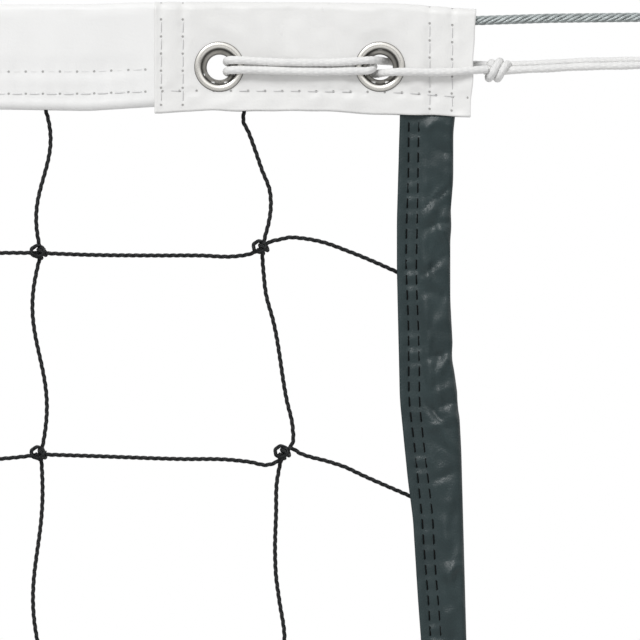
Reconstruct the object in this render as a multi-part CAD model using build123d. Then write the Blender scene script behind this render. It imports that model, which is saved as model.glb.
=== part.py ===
"""A volleyball net: square knotted netting under a white headband that hangs on a steel headline cable.

Millimetres. +X runs along the net, +Z is up and -Y is the front. The origin is the middle of the net's
bottom edge. The cable is pulled taut between its two eyes, the headband is folded over it, and dark
tapes bind the netting's sides and bottom.
"""

import math
import os

from build123d import *

# Netting: knotted square meshes, counted between the margin twines that the bands enclose.
MESH = 101.6
MESH_COLUMNS = 96
MESH_ROWS = 9
TWINE = 2.0
TWINE_CLEARANCE = 0.05
KNOT_CORD = 2.0
KNOT_ROOM = 2.45
PULLED_KNOT_ROOM = 3.1
BAR_GAP = 0.5
TWINE_END = 2.0

# How the end columns are pulled out and their last rungs slope down, and how far out the side tape
# hangs: each pair is a share of the way down from the headband's top, then a distance.
COLUMN_PULL = ((0, 0), (0.055, 0), (0.13, 9), (0.24, 19.4), (0.35, 20), (0.46, 16), (0.67, 9), (1, 2))
RUNG_DROP = ((0, 12), (0.13, 12), (0.24, 21.6), (0.35, 24), (0.46, 22), (0.67, 17), (1, 8))
TAPE_DRIFT = ((0, 0), (0.11, -2), (0.19, -0.5), (0.25, 3.5), (0.34, 8), (0.5, 12), (0.65, 11.5), (1, 4))

# Folded vinyl strips.
PLY = 0.5
PLY_CLEARANCE = 0.05
HEADBAND_HEIGHT = 50.8
HEADBAND_FROM_TWINE = 20.6
HEADBAND_OVERHANG = 10.0
PATCH_LENGTH = 159.3
PATCH_HEIGHT = 55.0
TAPE_WIDTH = 27.0
BORDER_TWINE_INSET = 3.2
BOTTOM_TWINE_RISE = 3.0
TAPE_BELOW_BAND_TOP = 14.0

# Headline cable, with a thimble eye and a pressed sleeve at each end.
CABLE = 4.8
CABLE_CLEARANCE = 0.4
CABLE_DROP = 5.4
SLIDE_ROOM = 95.0
FERRULE_LENGTH = 18.0
FERRULE_WALL = 1.8
FERRULE_CLEARANCE = 0.05
STRAND_GAP = 0.2
DEAD_END = 3.0
THIMBLE_BORE = 6.5
THIMBLE_WALL = 2.0
THIMBLE_WIDTH = 7.6
THIMBLE_CLEARANCE = 0.15
EYE_NECK = 30.0

# Eyelets: a flanged barrel through every ply, rolled over a washer at the back.
EYELET_BORE = 6.35
EYELET_WALL = 0.5
EYELET_FLANGE = 12.4
EYELET_DEPTH = 0.9
EYELET_DROP = 32.0
EYELET_FROM_END = 47.3
EYELET_PITCH = 80.0
BOTTOM_EYELET_INSET = 15.0

# Lacing cord at each end, through both eyelets and back to a knot.
LACING = 4.0
LACING_CLEARANCE = 0.65
LACING_RIM_BEND = 6.0
LACING_TURN_BEND = 4.4
LACING_PAIR = 3.2
KNOT_LENGTH = 12.5
KNOT_DEPTH = 16.4
KNOT_HEIGHT = 12.0
KNOT_FROM_END = 4.3
KNOT_CORNER = 3.0
TAIL_LENGTH = 80.0
CORD_END_GAP = 0.5

# What follows from the sizes above.
HALF_LENGTH = MESH_COLUMNS * MESH / 2
BAND_END = HALF_LENGTH + BORDER_TWINE_INSET + HEADBAND_OVERHANG
TAPE_OUTER = HALF_LENGTH + BORDER_TWINE_INSET
BAND_TOP = BOTTOM_TWINE_RISE + MESH_ROWS * MESH + HEADBAND_FROM_TWINE
TOP_TWINE = BAND_TOP - HEADBAND_FROM_TWINE
TWINE_OFFSET = TWINE / 2 + TWINE_CLEARANCE
TAPE_GAP = TWINE_OFFSET + TWINE / 2 + PLY_CLEARANCE
BAND_GAP = max(CABLE / 2 + CABLE_CLEARANCE, TAPE_GAP + PLY + PLY_CLEARANCE)
PATCH_GAP = BAND_GAP + PLY + PLY_CLEARANCE
PATCH_FACE = PATCH_GAP + PLY
PATCH_TOP = BAND_TOP + PLY + PLY_CLEARANCE
CABLE_AXIS = BAND_TOP - CABLE_DROP
EYELET_LEVEL = BAND_TOP - EYELET_DROP
OUTER_EYELET = BAND_END - EYELET_FROM_END
INNER_EYELET = OUTER_EYELET - EYELET_PITCH
EYELET_HOLE = EYELET_BORE + EYELET_WALL + PLY_CLEARANCE
SIDES = {"left": -1, "right": 1}


def between(places, share):
    """The distance at a share of the way down, straight between the two places that it lies between."""
    for (above, start), (below, end) in zip(places, places[1:]):
        if share <= below:
            return start + (end - start) * (share - above) / (below - above)
    return places[-1][1]


def share_down(z):
    return (BAND_TOP - z) / BAND_TOP


def row_heights():
    return [TOP_TWINE - MESH * row for row in range(1, MESH_ROWS)]


def inner_columns():
    """The upright twines between the two pulled end columns."""
    return [MESH * column - HALF_LENGTH for column in range(2, MESH_COLUMNS - 1)]


def end_column_x(z):
    return HALF_LENGTH - MESH + between(COLUMN_PULL, share_down(z))


def tape_outer_x(z):
    return TAPE_OUTER + between(TAPE_DRIFT, share_down(z))


def rod(start, end, diameter):
    """A straight round bar between two points."""
    start, end = Vector(*start), Vector(*end)
    section = Plane(start, z_dir=end - start) * Circle(diameter / 2)
    return extrude(section, (end - start).length, dir=(end - start).normalized())


def tube(points, radii, diameter):
    """A round cord swept along straight runs joined by tangent arcs."""
    path = FilletPolyline(*points, radius=radii)
    cord = sweep(Plane(path @ 0, z_dir=path % 0) * Circle(diameter / 2), path=path)
    expected = math.pi * (diameter / 2) ** 2 * path.length
    bends = ", ".join(f"{radius:.1f}" for radius in radii)
    print(f"cord {path.length:.1f} long, volume {cord.volume / expected:.4f} of expected, radii {bends}")
    return cord


def widest_radii(points, tight=None):
    """Each corner's arc is as large as its two runs allow, or the tight radius given for that corner."""
    radii = []
    for place, (before, corner, after) in enumerate(zip(points, points[1:], points[2:]), start=1):
        one, two = Vector(*corner) - Vector(*before), Vector(*after) - Vector(*corner)
        half_turn = math.radians(one.get_angle(two)) / 2
        radius = 0.45 * min(one.length, two.length) / math.tan(half_turn)
        radii.append((tight or {}).get(place, radius))
    return radii


def group(solids):
    """Several separate solids that make one node."""
    return Compound(children=[shape.solids()[0] for shape in solids])


def along_x(profile, start, end):
    """A profile drawn in Y and Z, carried from one X to another."""
    return Pos(start, 0, 0) * extrude(Plane.YZ * profile, end - start)


def half_round(radius, height):
    """A flat-sided outline whose half-round top touches 0 and whose sides hang down to the height."""
    flank = Pos(0, -(height + radius) / 2) * Rectangle(2 * radius, height - radius)
    return Pos(0, -radius) * Circle(radius) + flank


def folded_strip(gap, height):
    """The section of a strip folded in two, open below, with its fold's outer face at 0."""
    return half_round(gap + PLY, height) - Pos(0, -PLY) * half_round(gap, height)


def punch(shape, places, radius):
    """Cut a round hole through every ply at each eyelet."""
    for x, z in places:
        shape -= Pos(x, 0, z) * Rot(90, 0, 0) * Cylinder(radius, 4 * PATCH_FACE)
    return shape


def top_eyelets(side):
    return [(side * INNER_EYELET, EYELET_LEVEL), (side * OUTER_EYELET, EYELET_LEVEL)]


def bottom_eyelet(side):
    return side * (tape_outer_x(0) - BOTTOM_EYELET_INSET), TAPE_WIDTH / 2


def straight_twines():
    """The netting's upright and level twines between the pulled ends, and its margin twines."""
    low, high = BOTTOM_TWINE_RISE - TWINE_END / 2, TOP_TWINE + TWINE_END
    uprights = [rod((x, TWINE_OFFSET, low), (x, TWINE_OFFSET, high), TWINE) for x in inner_columns()]
    levels = []
    for z in row_heights():
        reach = end_column_x(z) - BAR_GAP / 2
        levels.append(rod((-reach, -TWINE_OFFSET, z), (reach, -TWINE_OFFSET, z), TWINE))
    nodes = {"upright_twines": group(uprights), "level_twines": group(levels)}
    for name, z in (("top_margin_twine", TOP_TWINE), ("bottom_margin_twine", BOTTOM_TWINE_RISE)):
        reach = HALF_LENGTH - TWINE
        nodes[name] = rod((-reach, -TWINE_OFFSET, z), (reach, -TWINE_OFFSET, z), TWINE)
    return nodes


def end_twines():
    """The pulled upright at each end, knot to knot, the sloping rungs beyond it, and the border twine."""
    nodes = {}
    for name, side in SIDES.items():
        heights = [TOP_TWINE + TWINE_END, *row_heights(), BOTTOM_TWINE_RISE - TWINE_END / 2]
        bars, rungs, border = [], [], []
        for high, low in zip(heights, heights[1:]):
            top = (side * end_column_x(high), TWINE_OFFSET, high - BAR_GAP / 2)
            foot = (side * end_column_x(low), TWINE_OFFSET, low + BAR_GAP / 2)
            bars.append(rod(top, foot, TWINE))
        for z in row_heights():
            foot = z - between(RUNG_DROP, share_down(z))
            inner = side * (end_column_x(z) + BAR_GAP / 2)
            outer = side * (tape_outer_x(foot) - BORDER_TWINE_INSET)
            rungs.append(rod((inner, -TWINE_OFFSET, z), (outer, -TWINE_OFFSET, foot), TWINE))
        turns = [BAND_TOP * (1 - share) for share, _ in TAPE_DRIFT[1:-1]]
        for z in (TOP_TWINE, *turns, BOTTOM_TWINE_RISE + TWINE):
            border.append((side * (tape_outer_x(z) - BORDER_TWINE_INSET), TWINE_OFFSET, z))
        nodes[f"end_upright_twine_{name}"] = group(bars)
        nodes[f"end_rung_twines_{name}"] = group(rungs)
        nodes[f"side_margin_twine_{name}"] = tube(border, widest_radii(border), TWINE)
    return nodes


def netting_knots():
    """A hitch round every crossing, drawn as one slanting turn of cord."""
    small, large = (Torus(room + KNOT_CORD / 2, KNOT_CORD / 2) for room in (KNOT_ROOM, PULLED_KNOT_ROOM))
    knots = []
    for z in row_heights():
        knots += [Pos(x, 0, z) * Rot(0, -45, 0) * small for x in inner_columns()]
        knots += [Pos(side * end_column_x(z), 0, z) * Rot(0, -45, 0) * large for side in SIDES.values()]
    return {"netting_knots": group(knots)}


def white_bands():
    """The headband folded over the cable, and the second layer folded over each of its ends."""
    band = Pos(0, 0, BAND_TOP) * along_x(folded_strip(BAND_GAP, HEADBAND_HEIGHT), -BAND_END, BAND_END)
    nodes = {"headband": punch(band, top_eyelets(-1) + top_eyelets(1), EYELET_HOLE)}
    for name, side in SIDES.items():
        ends = sorted((side * BAND_END, side * (BAND_END - PATCH_LENGTH)))
        patch = Pos(0, 0, PATCH_TOP) * along_x(folded_strip(PATCH_GAP, PATCH_HEIGHT), *ends)
        nodes[f"end_patch_{name}"] = punch(patch, top_eyelets(side), EYELET_HOLE)
    return nodes


def tape_outline(side, inner, outer):
    """A side tape's face between two distances in from its outer edge, as it hangs."""
    heights = [BAND_TOP * (1 - share) for share, _ in TAPE_DRIFT]
    heights[0] = BAND_TOP - TAPE_BELOW_BAND_TOP
    heights[-1] = PLY + BAND_GAP + PLY_CLEARANCE
    near = [(side * (tape_outer_x(z) - inner), z) for z in heights]
    far = [(side * (tape_outer_x(z) - outer), z) for z in heights]
    edges = [Spline(*near), Line(near[-1], far[-1]), Spline(*reversed(far)), Line(far[0], near[0])]
    return Plane.XZ * make_face(edges)


def dark_tapes():
    """The vinyl tapes folded over the netting's sides and over its bottom edge."""
    nodes = {}
    for name, side in SIDES.items():
        skin = extrude(tape_outline(side, TAPE_WIDTH, 0), TAPE_GAP + PLY, both=True)
        hollow = extrude(tape_outline(side, TAPE_WIDTH + PLY, PLY), TAPE_GAP, both=True)
        nodes[f"side_tape_{name}"] = punch(skin - hollow, [bottom_eyelet(side)], EYELET_HOLE)
    reach = tape_outer_x(0)
    strip = Rot(180, 0, 0) * along_x(folded_strip(BAND_GAP, TAPE_WIDTH), -reach, reach)
    nodes["bottom_tape"] = punch(strip, [bottom_eyelet(-1), bottom_eyelet(1)], EYELET_HOLE)
    return nodes


def eyelet_barrel(place, face):
    """The front half: a domed flange and a barrel whose end is rolled over the washer."""
    x, z = place
    outer, depth = EYELET_BORE + EYELET_WALL, face + EYELET_DEPTH
    roll = 2 * EYELET_WALL
    profile = [
        Line((EYELET_BORE, depth), (EYELET_BORE, -face)),
        Line((EYELET_BORE, -face), (EYELET_BORE + EYELET_DEPTH, -depth)),
        Line((EYELET_BORE + EYELET_DEPTH, -depth), (EYELET_FLANGE - EYELET_DEPTH, -depth)),
        Line((EYELET_FLANGE - EYELET_DEPTH, -depth), (EYELET_FLANGE, -face - PLY_CLEARANCE)),
        Line((EYELET_FLANGE, -face - PLY_CLEARANCE), (outer, -face - PLY_CLEARANCE)),
        Line((outer, -face - PLY_CLEARANCE), (outer, depth)),
        Line((outer, depth), (outer + roll, depth)),
        Line((outer + roll, depth), (outer + roll, depth + EYELET_WALL)),
        Line((outer + roll, depth + EYELET_WALL), (outer, depth + EYELET_WALL)),
        Line((outer, depth + EYELET_WALL), (EYELET_BORE, depth)),
    ]
    barrel = revolve(make_face(profile), Axis.Y)
    return Pos(x, 0, z) * barrel


def eyelet_washer(place, face):
    """The plain ring at the back, between the last ply and the barrel's rolled end."""
    x, z = place
    inner = EYELET_BORE + EYELET_WALL + PLY_CLEARANCE
    thickness = EYELET_DEPTH - 2 * PLY_CLEARANCE
    ring = Cylinder(EYELET_FLANGE, thickness) - Cylinder(inner, 2 * thickness)
    return Pos(x, face + EYELET_DEPTH / 2, z) * Rot(90, 0, 0) * ring


def eyelets():
    nodes = {}
    for name, side in SIDES.items():
        bottom, face = bottom_eyelet(side), BAND_GAP + PLY
        top = top_eyelets(side)
        nodes[f"top_eyelet_barrels_{name}"] = group([eyelet_barrel(p, PATCH_FACE) for p in top])
        nodes[f"top_eyelet_washers_{name}"] = group([eyelet_washer(p, PATCH_FACE) for p in top])
        nodes[f"bottom_eyelet_barrel_{name}"] = eyelet_barrel(bottom, face)
        nodes[f"bottom_eyelet_washer_{name}"] = eyelet_washer(bottom, face)
    return nodes


def headline():
    """The steel cable, its loop round a thimble at each end, and the sleeve pressed over both strands."""
    pitch = CABLE + STRAND_GAP
    axis = CABLE_AXIS - pitch / 2
    seat = THIMBLE_BORE + THIMBLE_WALL
    turn = seat + THIMBLE_CLEARANCE + CABLE / 2
    start = BAND_END + SLIDE_ROOM
    end = start + FERRULE_LENGTH
    eye = end + EYE_NECK
    neck = EYE_NECK * 2 / 3
    slope = math.asin(turn / math.hypot(neck, pitch / 2)) - math.atan2(pitch / 2, neck)
    corner = turn * math.tan(math.pi / 4 + slope / 2) + STRAND_GAP
    nodes = {"headline_cable": rod((-end, 0, CABLE_AXIS), (end, 0, CABLE_AXIS), CABLE)}
    groove = Pos(turn, 0) * Circle(CABLE / 2 + THIMBLE_CLEARANCE)
    rim = seat + CABLE / 2
    ring = Pos((THIMBLE_BORE + rim) / 2, 0) * Rectangle(rim - THIMBLE_BORE, THIMBLE_WIDTH)
    thimble = revolve(ring - groove, Axis.Y)
    hole = Circle(CABLE / 2 + FERRULE_CLEARANCE)
    sleeve = SlotCenterToCenter(pitch, CABLE + 2 * FERRULE_WALL, rotation=90)
    sleeve -= Pos(0, pitch / 2) * hole
    sleeve -= Pos(0, -pitch / 2) * hole
    for name, side in SIDES.items():
        loop = [
            (end, pitch / 2),
            (end + EYE_NECK - neck, pitch / 2),
            (eye + turn, corner),
            (eye + turn, -corner),
            (end + EYE_NECK - neck, -pitch / 2),
            (start - DEAD_END, -pitch / 2),
        ]
        points = [(side * x, 0, axis + z) for x, z in loop]
        radii = widest_radii(points, {2: turn, 3: turn})
        radii[-1] = radii[0]
        nodes[f"cable_eye_{name}"] = tube(points, radii, CABLE)
        nodes[f"cable_thimble_{name}"] = Pos(side * eye, 0, axis) * thimble
        ends = sorted((side * start, side * end))
        nodes[f"cable_ferrule_{name}"] = Pos(0, 0, axis) * along_x(sleeve, *ends)
    return nodes


def lacing_route():
    """The cord's way from its knot: in at the outer eyelet from the front, then twice round by the back,
    the inner eyelet and the front, and in again at the outer eyelet to the knot."""
    face = PATCH_FACE + EYELET_DEPTH + LACING_CLEARANCE + LACING / 2
    knot, step = BAND_END + KNOT_FROM_END - CORD_END_GAP, 3.6
    outer, turn, rim = OUTER_EYELET, INNER_EYELET + 2.0, OUTER_EYELET - 3.3
    middle = (outer + INNER_EYELET) / 2
    return [
        (knot, -5.5, -1.2),
        (BAND_END - 12, -face, -3.0),
        (outer + step, -face, -LACING_PAIR),
        (outer - step, face, -LACING_PAIR),
        (middle, face, -5.0),
        (turn, face, -2.7),
        (turn, -face, -2.3),
        (middle, -face, -3.4),
        (rim, -face, -2.6),
        (rim, face, 2.6),
        (middle, face, 1.4),
        (turn, face, 2.3),
        (turn, -face, 2.8),
        (middle, -face, 2.3),
        (outer - step, -face, LACING_PAIR),
        (outer + step, face, LACING_PAIR),
        (BAND_END - 12, face, 1.8),
        (knot, 5.5, 1.2),
    ]


def tail_route(depth, lift):
    """One strand of the doubled tail, from the knot to the knot at its end."""
    start = BAND_END + KNOT_FROM_END + KNOT_LENGTH + CORD_END_GAP
    steps = ((0, -0.6), (0.3, 0.9), (0.62, 1.9), (1, 2.3))
    return [(start + TAIL_LENGTH * share, depth, rise + lift) for share, rise in steps]


def lacing_cords():
    """The threaded loop at each end, the knot that closes it, and the two tails knotted together."""
    knot = Plane.YZ * RectangleRounded(KNOT_DEPTH, KNOT_HEIGHT, KNOT_CORNER)
    rim = dict.fromkeys((2, 3, 14, 15), LACING_RIM_BEND)
    turn = dict.fromkeys((5, 6, 8, 9, 11, 12), LACING_TURN_BEND)
    nodes = {}
    for name, side in SIDES.items():
        route = [(side * x, y, EYELET_LEVEL + z) for x, y, z in lacing_route()]
        nodes[f"lacing_loop_{name}"] = tube(route, widest_radii(route, rim | turn), LACING)
        tails = []
        for depth, lift in ((-1.9, -1.3), (1.9, 1.3)):
            route = [(side * x, y, EYELET_LEVEL + z) for x, y, z in tail_route(depth, lift)]
            tails.append(tube(route, widest_radii(route), LACING))
        nodes[f"lacing_tails_{name}"] = group(tails)
        first = BAND_END + KNOT_FROM_END
        last = first + KNOT_LENGTH + TAIL_LENGTH + 2 * CORD_END_GAP
        for node, place, rise in (("lacing_knot", first, -1.4), ("lacing_tail_knot", last, 2.3)):
            block = extrude(knot, side * KNOT_LENGTH)
            nodes[f"{node}_{name}"] = Pos(side * place, 0, EYELET_LEVEL + rise) * block
    return nodes


def main():
    os.makedirs("parts", exist_ok=True)
    makers = (
        straight_twines,
        end_twines,
        netting_knots,
        white_bands,
        dark_tapes,
        eyelets,
        headline,
        lacing_cords,
    )
    for make in makers:
        for node, shape in make().items():
            export_step(shape, f"parts/{node}.step")


main()
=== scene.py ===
import math

import bpy
import numpy as np
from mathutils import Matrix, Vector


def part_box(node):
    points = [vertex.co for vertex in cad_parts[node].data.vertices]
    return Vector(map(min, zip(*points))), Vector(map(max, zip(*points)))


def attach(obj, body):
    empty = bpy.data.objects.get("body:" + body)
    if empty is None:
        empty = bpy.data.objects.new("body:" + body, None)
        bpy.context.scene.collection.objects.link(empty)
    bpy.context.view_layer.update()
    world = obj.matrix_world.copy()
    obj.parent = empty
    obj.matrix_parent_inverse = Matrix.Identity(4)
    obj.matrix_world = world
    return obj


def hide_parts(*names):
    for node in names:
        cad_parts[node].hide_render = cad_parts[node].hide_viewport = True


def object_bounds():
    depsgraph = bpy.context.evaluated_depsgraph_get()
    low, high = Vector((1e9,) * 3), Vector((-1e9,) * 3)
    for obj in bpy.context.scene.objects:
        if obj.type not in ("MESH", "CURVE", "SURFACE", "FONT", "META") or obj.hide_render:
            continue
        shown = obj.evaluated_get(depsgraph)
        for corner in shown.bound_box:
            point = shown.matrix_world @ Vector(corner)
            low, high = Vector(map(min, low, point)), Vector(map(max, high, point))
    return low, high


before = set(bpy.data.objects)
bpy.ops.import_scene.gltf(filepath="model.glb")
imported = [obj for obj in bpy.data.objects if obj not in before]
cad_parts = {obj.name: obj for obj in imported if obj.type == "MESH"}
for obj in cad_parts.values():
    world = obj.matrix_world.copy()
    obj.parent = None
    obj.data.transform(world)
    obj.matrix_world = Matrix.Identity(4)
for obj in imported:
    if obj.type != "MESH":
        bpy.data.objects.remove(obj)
cad_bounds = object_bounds()

# --- Camera -----------------------------------------------------------------------------------------
# It looks straight along +Y at the upper right-hand corner of the net, from far off with a long lens.
# Places on the net are counted from the headband's right-hand end and from its top edge.
MM = 0.001
BAND_END, BAND_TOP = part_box("headband")[1].x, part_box("headband")[1].z
VIEW_INSET, VIEW_DROP, VIEW_WIDTH, VIEW_DISTANCE = 77.2 * MM, 157.9 * MM, 318.7 * MM, 2.4
camera = bpy.data.objects.new("camera", bpy.data.cameras.new("camera"))
bpy.context.scene.collection.objects.link(camera)
bpy.context.scene.camera = camera
camera.location = (BAND_END - VIEW_INSET, -VIEW_DISTANCE, BAND_TOP - VIEW_DROP)
camera.rotation_euler = (math.pi / 2, 0, 0)
camera.data.lens = camera.data.sensor_width * VIEW_DISTANCE / VIEW_WIDTH
camera.data.clip_end = 200

# --- Lacing cords ------------------------------------------------------------------------------------
# White braided polyester cord, 4 mm thick. At each end of the headband it winds twice through both
# eyelets, both its ends go into one knot, and two tails lead from there to a second knot.
EYELET_LEVEL = BAND_TOP - 32 * MM
EYELET_INSETS = (47.3 * MM, 127.3 * MM)
LACING = 4.0 * MM
BRAID_PITCH = 5.6 * MM
CORD_STEP = 0.55 * MM
UP, BACK = (0.0, 0.0, 1.0), (0.0, 1.0, 0.0)
SIDES = {"left": -1, "right": 1}


class Value:
    """A shader value. Arithmetic on it adds Math nodes, and its links stay inside one material."""

    def __init__(self, finish, socket):
        self.finish, self.socket = finish, socket

    def math(self, operation, *values):
        return self.finish.node("ShaderNodeMath", {"operation": operation}, dict(enumerate(values)))

    def __add__(self, other):
        return self.math("ADD", self, other)

    def __sub__(self, other):
        return self.math("SUBTRACT", self, other)

    def __rsub__(self, other):
        return self.math("SUBTRACT", other, self)

    def __mul__(self, other):
        return self.math("MULTIPLY", self, other)

    def __truediv__(self, other):
        return self.math("DIVIDE", self, other)

    __radd__, __rmul__ = __add__, __mul__

    def __abs__(self):
        return self.math("ABSOLUTE", self)

    def wave(self):
        """A cosine wave from 0 to 1 that repeats for every whole step of the value."""
        return self.math("COSINE", self * (2 * math.pi)) * 0.5 + 0.5

    def band(self, low, high):
        """0 up to low, 1 from high, and smooth between them."""
        return self.finish.node(
            "ShaderNodeMapRange",
            {"interpolation_type": "SMOOTHSTEP"},
            {"Value": self, "From Min": low, "From Max": high},
        )


class Finish:
    """One material: its shader's plain values are set at once, and node() adds any other node."""

    def __init__(self, name, **plain):
        self.material = bpy.data.materials.new(name)
        self.material.use_nodes = True
        self.tree = self.material.node_tree
        self.shader = self.tree.nodes["Principled BSDF"]
        for label, value in plain.items():
            self.shader.inputs[label.replace("_", " ").title().replace("Ior", "IOR")].default_value = value

    def node(self, kind, settings=None, values=None, output=0):
        made = self.tree.nodes.new(kind)
        for name, value in (settings or {}).items():
            if name == "stops":
                while len(made.color_ramp.elements) < len(value):
                    made.color_ramp.elements.new(0.5)
                for stop, (place, colour) in zip(made.color_ramp.elements, value):
                    stop.position, stop.color = place, (*colour, 1)
            else:
                setattr(made, name, value)
        for name, value in (values or {}).items():
            if isinstance(value, Value):
                self.tree.links.new(value.socket, made.inputs[name])
            else:
                made.inputs[name].default_value = value
        return Value(self, made.outputs[output])

    def place(self, kind="Object"):
        return self.node("ShaderNodeTexCoord", output=kind)

    def parts(self, vector):
        split = self.tree.nodes.new("ShaderNodeSeparateXYZ")
        self.tree.links.new(vector.socket, split.inputs[0])
        return [Value(self, socket) for socket in split.outputs]

    def noise(self, vector, scale, detail=2.0, rough=0.5):
        return self.node(
            "ShaderNodeTexNoise",
            values={"Vector": vector, "Scale": scale, "Detail": detail, "Roughness": rough},
        )

    def colours(self, factor, first, second):
        """A colour between two, by a factor from 0 to 1."""
        return self.node("ShaderNodeValToRGB", {"stops": [(0, first), (1, second)]}, {"Fac": factor})

    def bump(self, height, distance, strength=1.0, under=None):
        values = {"Height": height, "Distance": distance, "Strength": strength}
        if under:
            values["Normal"] = under
        return self.node("ShaderNodeBump", values=values)

    def feed(self, **links):
        for label, value in links.items():
            self.tree.links.new(value.socket, self.shader.inputs[label.replace("_", " ").title()])
        return self


def piece(name, places, *facesets, turns=None, finish=None, body=None, slot=None, instead=()):
    """A mesh from an array of corner places and arrays of faces, each as (faces, corners of one face).
    turns gives each face corner's place in the piece's own pattern."""
    mesh = bpy.data.meshes.new(name)
    places = np.asarray(places, np.float32).reshape(-1, 3)
    corners = np.concatenate([faces.ravel() for faces in facesets]).astype(np.int32)
    sizes = np.concatenate([np.full(len(faces), faces.shape[1]) for faces in facesets])
    mesh.vertices.add(len(places))
    mesh.vertices.foreach_set("co", places.ravel())
    mesh.loops.add(len(corners))
    mesh.loops.foreach_set("vertex_index", corners)
    mesh.polygons.add(len(sizes))
    mesh.polygons.foreach_set("loop_start", (np.cumsum(sizes) - sizes).astype(np.int32))
    mesh.polygons.foreach_set("use_smooth", np.ones(len(sizes), bool))
    if turns is not None:
        mesh.uv_layers.new(name="lay").data.foreach_set("uv", turns.astype(np.float32).ravel())
    mesh.update(calc_edges=True)
    mesh.validate()
    made = bpy.data.objects.new(name, mesh)
    bpy.context.scene.collection.objects.link(made)
    mesh.materials.append(finish.material)
    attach(made, body)
    if instead:
        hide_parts(*instead)
    return made


def skin(path, reach, up, lay=1.0):
    """Closed tubes. Ring i of tube k has its middle at path[k, i]. At each angle its skin stands reach
    away from there, square to the path, with the angle counted from the cross of path and up. The
    pattern is turns round the tube, and lays of the cord along it."""
    path = np.atleast_3d(path) if path.ndim == 3 else path[None]
    tubes, rings, _ = path.shape
    reach = np.broadcast_to(reach, (tubes, rings, reach.shape[-1]))
    sides = reach.shape[-1]
    along = np.gradient(path, axis=1)
    along /= np.linalg.norm(along, axis=2, keepdims=True)
    across = np.cross(along, up)
    across /= np.linalg.norm(across, axis=2, keepdims=True)
    over = np.cross(across, along)
    angle = np.arange(sides) * 2 * math.pi / sides
    spoke = np.cos(angle)[:, None] * across[:, :, None] + np.sin(angle)[:, None] * over[:, :, None]
    places = path[:, :, None] + reach[..., None] * spoke
    here = np.arange(sides)
    ahead = (here + 1) % sides
    ring = (np.arange(tubes)[:, None] * rings + np.arange(rings - 1))[..., None] * sides
    walls = np.stack([ring + here, ring + sides + here, ring + sides + ahead, ring + ahead], -1)
    walls = walls.reshape(-1, 4)
    first = tubes * rings * sides + np.arange(tubes)[:, None]
    start = np.arange(tubes)[:, None] * rings * sides
    end = start + (rings - 1) * sides
    spread = np.broadcast_to(first, (tubes, sides))
    near = np.stack([spread, start + here, start + ahead], -1).reshape(-1, 3)
    far = np.stack([spread + tubes, end + ahead, end + here], -1).reshape(-1, 3)
    gone = np.linalg.norm(np.diff(path, axis=1), axis=2)
    gone = np.concatenate([np.zeros((tubes, 1)), np.cumsum(gone, axis=1)], 1) / lay
    low, high = np.broadcast_arrays(gone[:, :-1, None], here / sides)
    top = np.broadcast_to(gone[:, 1:, None], low.shape)
    turn, step = high, 1 / sides
    wall_turns = np.stack([turn, low, turn, top, turn + step, top, turn + step, low], -1).reshape(-1, 2)
    cap_turns = np.zeros((2 * tubes * sides * 3, 2))
    places = np.concatenate([places.reshape(-1, 3), path[:, 0], path[:, -1]])
    return places, (walls, np.concatenate([near, far])), np.concatenate([wall_turns, cap_turns])


def joined(*skins):
    """Several skins as the corners, faces and pattern of one mesh."""
    starts = np.cumsum([0] + [len(places) for places, _, _ in skins])
    walls = [faces[0] + start for (_, faces, _), start in zip(skins, starts)]
    caps = [faces[1] + start for (_, faces, _), start in zip(skins, starts)]
    wall_turns = [turns[: 4 * len(faces[0])] for _, faces, turns in skins]
    cap_turns = [turns[4 * len(faces[0]):] for _, faces, turns in skins]
    places = np.concatenate([places for places, _, _ in skins])
    faces = (np.concatenate(walls), np.concatenate(caps))
    return places, faces, np.concatenate(wall_turns + cap_turns)


def wound(name, skins, finish, body, slot, instead=()):
    """One piece from a list of skins."""
    places, faces, turns = joined(*skins)
    return piece(name, places, *faces, turns=turns, finish=finish, body=body, slot=slot, instead=instead)


def evenly(line, step):
    """The same line with its points a step apart."""
    gone = np.concatenate([[0], np.cumsum(np.linalg.norm(np.diff(line, axis=0), axis=1))])
    wanted = np.linspace(0, gone[-1], max(int(round(gone[-1] / step)) + 1, 3))
    return np.stack([np.interp(wanted, gone, line[:, axis]) for axis in range(3)], -1), wanted


def cord_line(points, step):
    """Points along the smooth line of a cord, from its route, and how far along each one lies."""
    curve = bpy.data.curves.new("route", "CURVE")
    curve.dimensions = "3D"
    spline = curve.splines.new("NURBS")
    spline.points.add(len(points) - 1)
    spline.points.foreach_set("co", [n for point in points for n in (*point, 1)])
    spline.order_u = 3
    spline.use_endpoint_u = True
    spline.resolution_u = 24
    route = bpy.data.objects.new("route", curve)
    mesh = bpy.data.meshes.new_from_object(route)
    line = np.array([corner.co for corner in mesh.vertices])
    bpy.data.meshes.remove(mesh)
    bpy.data.objects.remove(route)
    return evenly(line, step)


def braided(gone, thickness, sides=24, strands=6, depth=0.06, pitch=BRAID_PITCH):
    """How far a braid stands out: strands that cross in two spirals raise a lozenge at each crossing."""
    angle = np.arange(sides) / sides
    one = np.cos(2 * math.pi * (strands * angle + gone[:, None] / pitch))
    two = np.cos(2 * math.pi * (strands * angle - gone[:, None] / pitch))
    far = gone[:, None] / pitch
    loose = 0.05 * np.sin(far / 1.3 + 6 * angle) * np.sin(far / 2.9) + 0.04 * np.sin(far * 1.9)
    return thickness / 2 * (1 - depth + depth * one * two + loose)


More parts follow.
